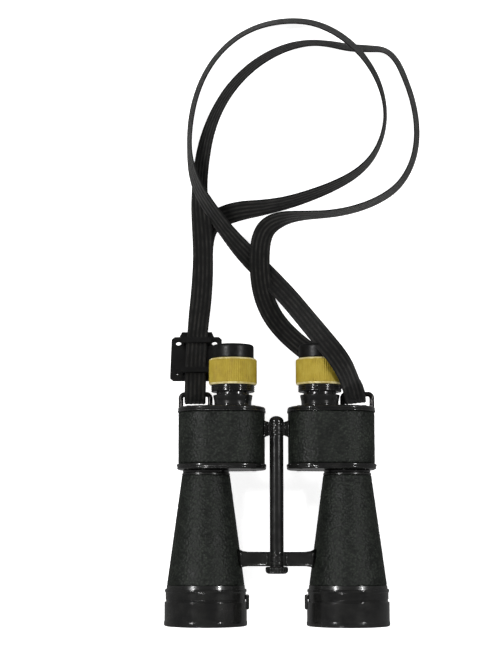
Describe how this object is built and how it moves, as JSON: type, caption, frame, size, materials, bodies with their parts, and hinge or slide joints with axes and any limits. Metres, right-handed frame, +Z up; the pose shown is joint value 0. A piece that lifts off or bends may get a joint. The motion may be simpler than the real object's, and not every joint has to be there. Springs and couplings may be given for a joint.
{
  "type": "porro prism binoculars",
  "caption": "Porro prism binoculars with leatherette casings, long tapered barrels, knurled brass eyepiece focusing rings, a centre hinge and a looped neck strap.",
  "frame": {"origin": "on the table, below the middle of the binoculars without the strap; x = 0 is the plane of the centre hinge", "axes": "+Y from the objectives to the eyepieces, along the optical axes; +Z up from the table; +X to the right half"},
  "size_m": [0.2118, 0.5109, 0.067],
  "materials": {
    "black_casting": "black enamel on cast aluminium",
    "black_lacquer": "gloss black lacquer",
    "satin_black": "satin black anodised",
    "leatherette": "pebbled black-green leatherette",
    "focus_brass": "knurled mustard brass",
    "eyecup_plastic": "black moulded plastic",
    "coated_glass": "coated lens",
    "optical_glass": "polished",
    "blackened_steel": "blackened",
    "spring_brass": "rolled",
    "keeper_plastic": "moulded, black",
    "strap_webbing": "woven black webbing"
  },
  "bodies": {
    "left_half": {"left_prism_housing": "black_casting", "left_housing_covering": "leatherette", "left_top_cover": "black_lacquer", "left_bottom_cover": "black_lacquer", "left_cover_screws": "blackened_steel", "left_barrel": "black_casting", "left_barrel_covering": "leatherette", "left_barrel_collar": "black_lacquer", "left_objective_shield": "black_lacquer", "left_objective_cell": "satin_black", "left_objective_retainer": "satin_black", "left_objective_crown": "coated_glass", "left_objective_flint": "optical_glass", "left_prism_shelf": "satin_black", "left_back_prism": "optical_glass", "left_front_prism": "optical_glass", "left_prism_clips": "spring_brass", "left_strap_bar": "blackened_steel", "left_eyepiece_base": "black_lacquer", "hinge_axle": "blackened_steel", "hinge_sleeve": "black_lacquer", "hinge_dome_cap": "black_lacquer", "hinge_lock_disc": "black_lacquer", "hinge_washers": "blackened_steel", "strap_keeper": "keeper_plastic", "neck_strap": "strap_webbing"},
    "right_half": {"right_prism_housing": "black_casting", "right_housing_covering": "leatherette", "right_top_cover": "black_lacquer", "right_bottom_cover": "black_lacquer", "right_cover_screws": "blackened_steel", "right_barrel": "black_casting", "right_barrel_covering": "leatherette", "right_barrel_collar": "black_lacquer", "right_objective_shield": "black_lacquer", "right_objective_cell": "satin_black", "right_objective_retainer": "satin_black", "right_objective_crown": "coated_glass", "right_objective_flint": "optical_glass", "right_prism_shelf": "satin_black", "right_back_prism": "optical_glass", "right_front_prism": "optical_glass", "right_prism_clips": "spring_brass", "right_strap_bar": "blackened_steel", "right_eyepiece_base": "black_lacquer"},
    "left_lens_carrier": {"left_lens_tube": "satin_black", "left_field_lens": "optical_glass", "left_eye_lens": "coated_glass", "left_eyecup": "eyecup_plastic"},
    "right_lens_carrier": {"right_lens_tube": "satin_black", "right_field_lens": "optical_glass", "right_eye_lens": "coated_glass", "right_eyecup": "eyecup_plastic"},
    "left_focus": {"left_focus_hub": "satin_black", "left_focus_ring_nut": "satin_black", "left_focus_ring": "focus_brass"},
    "right_focus": {"right_focus_hub": "satin_black", "right_focus_ring_nut": "satin_black", "right_focus_ring": "focus_brass"}
  },
  "joints": [
    {"name": "interpupillary_hinge", "type": "hinge", "parent": "left_half", "child": "right_half", "pos_m": [0, -0.01, 0.0385], "axis": [0, 1, 0], "range_deg": [-60, 0], "deforming": ["neck_strap"]},
    {"name": "left_lens_slide", "type": "slide", "parent": "left_half", "child": "left_lens_carrier", "axis": [0, 1, 0], "range_m": [-0.0019, 0.0019]},
    {"name": "left_focus_turn", "type": "hinge", "parent": "left_lens_carrier", "child": "left_focus", "pos_m": [-0.0352, 0.08, 0.0435], "axis": [0, 1, 0], "range_deg": [-120, 120]},
    {"name": "right_lens_slide", "type": "slide", "parent": "right_half", "child": "right_lens_carrier", "axis": [0, 1, 0], "range_m": [-0.0019, 0.0019]},
    {"name": "right_focus_turn", "type": "hinge", "parent": "right_lens_carrier", "child": "right_focus", "pos_m": [0.0352, 0.08, 0.0435], "axis": [0, 1, 0], "range_deg": [-120, 120]}
  ],
  "couplings": [
    {"joint": "left_lens_slide", "follows": "left_focus_turn", "m_per_rad": 0.0009},
    {"joint": "right_lens_slide", "follows": "right_focus_turn", "m_per_rad": 0.0009}
  ]
}
